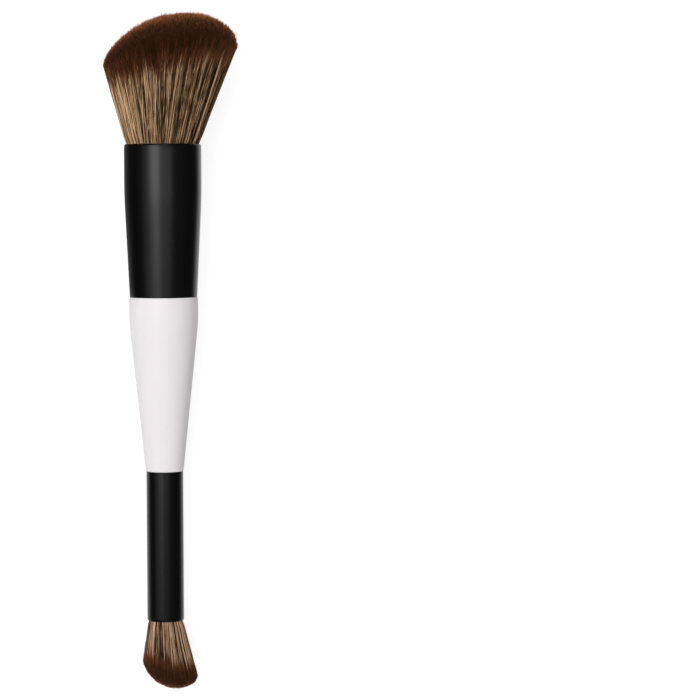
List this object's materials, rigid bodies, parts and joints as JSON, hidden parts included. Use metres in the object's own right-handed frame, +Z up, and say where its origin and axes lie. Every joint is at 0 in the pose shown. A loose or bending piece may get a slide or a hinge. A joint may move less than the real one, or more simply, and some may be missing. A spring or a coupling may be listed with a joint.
{
  "type": "double ended makeup brush",
  "caption": "Double ended face brush: short white handle between two black ferrules, with a wide angled domed bristle tuft at one end and a small angled one at the other.",
  "frame": {"origin": "on the flat spot where the large tuft's belly lies on the table, under the brush's axis", "axes": "+X along the table towards the large tuft, +Y towards the short side of both tufts, +Z up from the table"},
  "size_m": [0.1767, 0.0347, 0.0259],
  "materials": {
    "bristle": "fine synthetic filaments, tan with a dark brown band and auburn tips",
    "thread": "twisted polyester thread",
    "resin": "cured epoxy",
    "ferrule": "black coated, satin",
    "handle": "white, satin"
  },
  "bodies": {
    "root": {"large_tuft": "bristle", "large_tuft_binding": "thread", "large_resin_plug": "resin", "large_ferrule": "ferrule", "large_tenon_glue": "resin", "handle": "handle", "small_tenon_glue": "resin", "small_ferrule": "ferrule", "small_resin_plug": "resin", "small_tuft_binding": "thread", "small_tuft": "bristle"}
  },
  "joints": []
}
